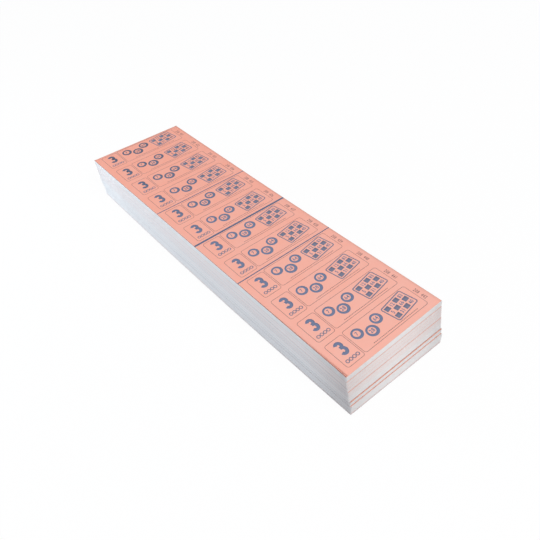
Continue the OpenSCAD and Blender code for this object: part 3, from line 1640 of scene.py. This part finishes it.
@dataclass
class Studio:
    """The plain white studio: world light, floor, lamps and camera."""

    corner: Vector
    world_light: Colour = (0.59, 0.61, 0.665, 1.0)
    floor_side: float = 8.0
    floor_drop: float = 0.1 * MM
    floor_glow: float = 0.95
    floor_white: float = 1.0
    floor_colour: Colour = (0.92, 0.92, 0.92, 1.0)
    lens: float = 39.38
    sensor: float = 36.0
    eye: tuple[float, float, float] = (-303.3 * MM, -262.4 * MM, 613.3 * MM)
    azimuth: float = 37.79
    down: float = 43.62
    roll: float = -3.03
    lamps: tuple[SoftBox, ...] = (
        SoftBox(
            "key_light", place=(0.0, -1.86, 2.35), target=(0.0, -0.1, 0.0),
            side=1.5, power=38.5, colour=(1.0, 0.975, 0.925),
        ),
        SoftBox(
            "side_light", place=(-0.85, 0.75, 0.25), target=(-0.08, 0.2, 0.03),
            side=0.5, power=5.3, colour=(0.78, 0.91, 1.0),
        ),
    )

    def build(self) -> None:
        """Sets up everything that isn't part of the pile."""
        bpy.context.scene.view_settings.view_transform = "Standard"
        self._world()
        self._floor()
        for lamp in self.lamps:
            lamp.build()
        self._camera()

    def _seen(self, bench: NodeBench) -> Socket:
        """One where a ray comes straight, by gloss or through glass from the camera.

        Args:
            bench: Bench of the tree that asks.

        Returns:
            The socket of the answer.
        """
        path = bench.add("ShaderNodeLightPath").outputs
        sharp = bench.reckoned("MAXIMUM", path["Is Glossy Ray"], path["Is Transmission Ray"])
        return bench.reckoned("MAXIMUM", path["Is Camera Ray"], sharp)

    def _world(self) -> None:
        """A pale sky that lights the pile, and plain white where it is seen."""
        world = bpy.data.worlds.new("studio_white")
        world.use_nodes = True
        bpy.context.scene.world = world
        bench = NodeBench(world.node_tree)
        light, white = [
            bench.add("ShaderNodeBackground", {"Color": colour, "Strength": 1.0}).outputs[0]
            for colour in (self.world_light, WHITE)
        ]
        mix = bench.add("ShaderNodeMixShader", {0: self._seen(bench), 1: light, 2: white})
        bench.add("ShaderNodeOutputWorld", {"Surface": mix.outputs[0]})

    def _floor(self) -> None:
        """A pale floor that keeps a faint shadow."""
        half = self.floor_side / 2
        corners = np.array([[-half, -half], [half, -half], [half, half], [-half, half]])
        mesh = bpy.data.meshes.new("floor")
        points = np.column_stack([corners, np.full(len(corners), -self.floor_drop)])
        mesh.from_pydata(points.tolist(), [], [(0, 1, 2, 3)])
        material, bench = start_material("floor_white")
        matt = bench.add("ShaderNodeBsdfDiffuse", {"Color": self.floor_colour}).outputs[0]
        glow = bench.add("ShaderNodeEmission", {"Color": WHITE, "Strength": self.floor_white}).outputs[0]
        share = bench.reckoned("MULTIPLY", self._seen(bench), self.floor_glow)
        mix = bench.add("ShaderNodeMixShader", {0: share, 1: matt, 2: glow})
        bench.add("ShaderNodeOutputMaterial", {"Surface": mix.outputs[0]})
        mesh.materials.append(material)
        floor = bpy.data.objects.new("floor", mesh)
        bpy.context.scene.collection.objects.link(floor)
        floor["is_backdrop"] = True

    def _camera(self) -> None:
        """A camera that stands off the near left corner of the top leaf, looks down and leans a little."""
        turn, down, roll = (math.radians(angle) for angle in (self.azimuth, self.down, self.roll))
        ahead = Vector((math.sin(turn) * math.cos(down), math.cos(turn) * math.cos(down), -math.sin(down)))
        level = ahead.cross(Vector((0, 0, 1))).normalized()
        right = level * math.cos(roll) + level.cross(ahead) * math.sin(roll)
        up = right.cross(ahead)
        place = Vector((self.corner.x, self.corner.y, 0.0)) + Vector(self.eye)
        camera = bpy.data.cameras.new("camera")
        camera.lens = self.lens
        camera.sensor_width = self.sensor
        holder = bpy.data.objects.new("camera", camera)
        turned = Matrix((right, up, -ahead)).transposed().to_4x4()
        holder.matrix_world = Matrix.Translation(place) @ turned
        bpy.context.scene.collection.objects.link(holder)
        bpy.context.scene.camera = holder


def main() -> None:
    """Builds the bundles, the open book, the print and the studio, in that order."""
    logging.basicConfig(level=logging.INFO, format="%(name)s: %(message)s")
    cad_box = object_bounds()
    rack = FinishRack()
    settling = Settling(rise=8.0 * MM, bow=3.0 * MM, pile_top=cad_box[1].z)
    bold = Numerals(weight=0.022, roundness=3)
    cover_print = CoverPrint(rack, bold)
    game_print = GamePrint(rack, bold)
    for number, tone in (tone.value for tone in Tone):
        bundle = Bundle(number, rack, settling, tone)
        cover = bundle.build()
        # Painted shade on the cover's near strip
        bundle.wear(cover)
        cover_print.dress(cover)
    book = TopBook(rack, settling)
    sheets = book.build()
    cover_print.dress(sheets[Level.COVER])
    for sheet in (sheets[Level.LEAF_1], sheets[Level.LEAF_2], book.back_leaf()):
        game_print.dress(sheet)
    Studio(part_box("top_book_cover_stub")[0]).build()


if __name__ == "__main__":
    main()
